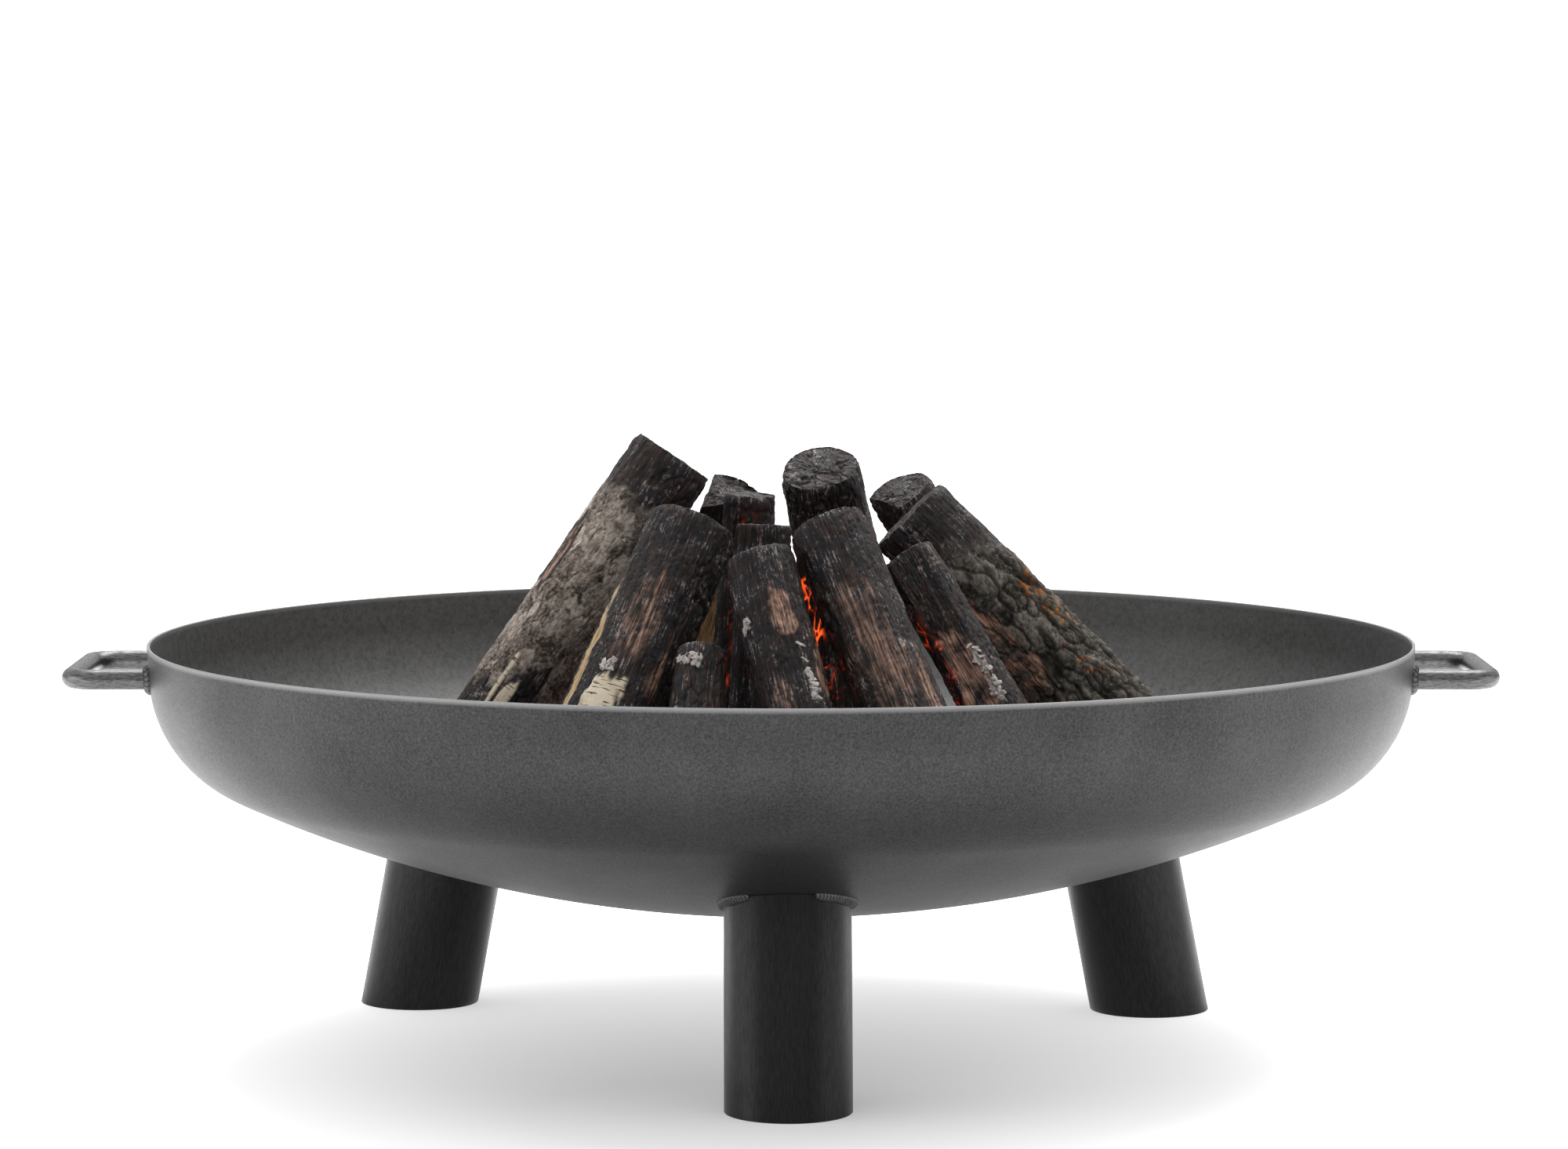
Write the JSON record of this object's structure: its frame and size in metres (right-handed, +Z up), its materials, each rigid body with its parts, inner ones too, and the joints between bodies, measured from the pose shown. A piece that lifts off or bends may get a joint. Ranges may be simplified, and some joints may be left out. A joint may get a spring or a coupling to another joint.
{
  "type": "fire bowl",
  "caption": "Dished steel fire bowl on splayed tube legs with bent-rod handles, holding a leaning stack of firewood over an ash bed.",
  "frame": {"origin": "on the ground under the middle of the bowl", "axes": "+X to the right handle, -Y to the front leg, +Z up"},
  "size_m": [0.898, 0.8, 0.3872],
  "materials": {
    "hot_rolled_sheet": "uncoated hot-rolled steel, matt with mill scale",
    "leg_tube": "black mill-finish tube, satin",
    "round_bar": "uncoated round bar, satin",
    "weld_metal": "as-laid weld bead",
    "ash_and_charcoal": "charcoal lumps in ash, glowing in places",
    "bark_firewood": "rough bark, scorched",
    "birch_firewood": "charred birch with patches of pale bark left",
    "charred_firewood": "charred and checked, with white ash"
  },
  "bodies": {
    "fire_bowl": {"bowl": "hot_rolled_sheet", "leg_front": "leg_tube", "leg_rear_left": "leg_tube", "leg_rear_right": "leg_tube", "handle_left": "round_bar", "handle_right": "round_bar", "weld_leg_front_a": "weld_metal", "weld_leg_front_b": "weld_metal", "weld_leg_front_c": "weld_metal", "weld_leg_rear_left_a": "weld_metal", "weld_leg_rear_left_b": "weld_metal", "weld_leg_rear_left_c": "weld_metal", "weld_leg_rear_right_a": "weld_metal", "weld_leg_rear_right_b": "weld_metal", "weld_leg_rear_right_c": "weld_metal", "weld_handle_left_front": "weld_metal", "weld_handle_left_rear": "weld_metal", "weld_handle_right_front": "weld_metal", "weld_handle_right_rear": "weld_metal", "ash_and_ember_bed": "ash_and_charcoal"},
    "log_left": {"log_left": "bark_firewood"},
    "log_front_left_birch": {"log_front_left_birch": "birch_firewood"},
    "log_front_left_stub": {"log_front_left_stub": "charred_firewood"},
    "log_front_split": {"log_front_split": "charred_firewood"},
    "log_front_right": {"log_front_right": "charred_firewood"},
    "log_right_char": {"log_right_char": "charred_firewood"},
    "log_right": {"log_right": "bark_firewood"},
    "log_back_right": {"log_back_right": "bark_firewood"},
    "log_back": {"log_back": "charred_firewood"},
    "log_back_split": {"log_back_split": "bark_firewood"},
    "log_back_left": {"log_back_left": "bark_firewood"},
    "kindling_right": {"kindling_right": "charred_firewood"},
    "kindling_back": {"kindling_back": "charred_firewood"},
    "kindling_front": {"kindling_front": "charred_firewood"}
  },
  "joints": [
    {"name": "lift_log_left", "type": "slide", "parent": "fire_bowl", "child": "log_left", "axis": [0, 0, 1], "range_m": [0, 0.3]},
    {"name": "lift_log_front_left_birch", "type": "slide", "parent": "fire_bowl", "child": "log_front_left_birch", "axis": [0, 0, 1], "range_m": [0, 0.3]},
    {"name": "lift_log_front_left_stub", "type": "slide", "parent": "fire_bowl", "child": "log_front_left_stub", "axis": [0, 0, 1], "range_m": [0, 0.3]},
    {"name": "lift_log_front_split", "type": "slide", "parent": "fire_bowl", "child": "log_front_split", "axis": [0, 0, 1], "range_m": [0, 0.3]},
    {"name": "lift_log_front_right", "type": "slide", "parent": "fire_bowl", "child": "log_front_right", "axis": [0, 0, 1], "range_m": [0, 0.3]},
    {"name": "lift_log_right_char", "type": "slide", "parent": "fire_bowl", "child": "log_right_char", "axis": [0, 0, 1], "range_m": [0, 0.3]},
    {"name": "lift_log_right", "type": "slide", "parent": "fire_bowl", "child": "log_right", "axis": [0, 0, 1], "range_m": [0, 0.3]},
    {"name": "lift_log_back_right", "type": "slide", "parent": "fire_bowl", "child": "log_back_right", "axis": [0, 0, 1], "range_m": [0, 0.3]},
    {"name": "lift_log_back", "type": "slide", "parent": "fire_bowl", "child": "log_back", "axis": [0, 0, 1], "range_m": [0, 0.3]},
    {"name": "lift_log_back_split", "type": "slide", "parent": "fire_bowl", "child": "log_back_split", "axis": [0, 0, 1], "range_m": [0, 0.3]},
    {"name": "lift_log_back_left", "type": "slide", "parent": "fire_bowl", "child": "log_back_left", "axis": [0, 0, 1], "range_m": [0, 0.3]},
    {"name": "lift_kindling_right", "type": "slide", "parent": "fire_bowl", "child": "kindling_right", "axis": [0, 0, 1], "range_m": [0, 0.3]},
    {"name": "lift_kindling_back", "type": "slide", "parent": "fire_bowl", "child": "kindling_back", "axis": [0, 0, 1], "range_m": [0, 0.3]},
    {"name": "lift_kindling_front", "type": "slide", "parent": "fire_bowl", "child": "kindling_front", "axis": [0, 0, 1], "range_m": [0, 0.3]}
  ]
}
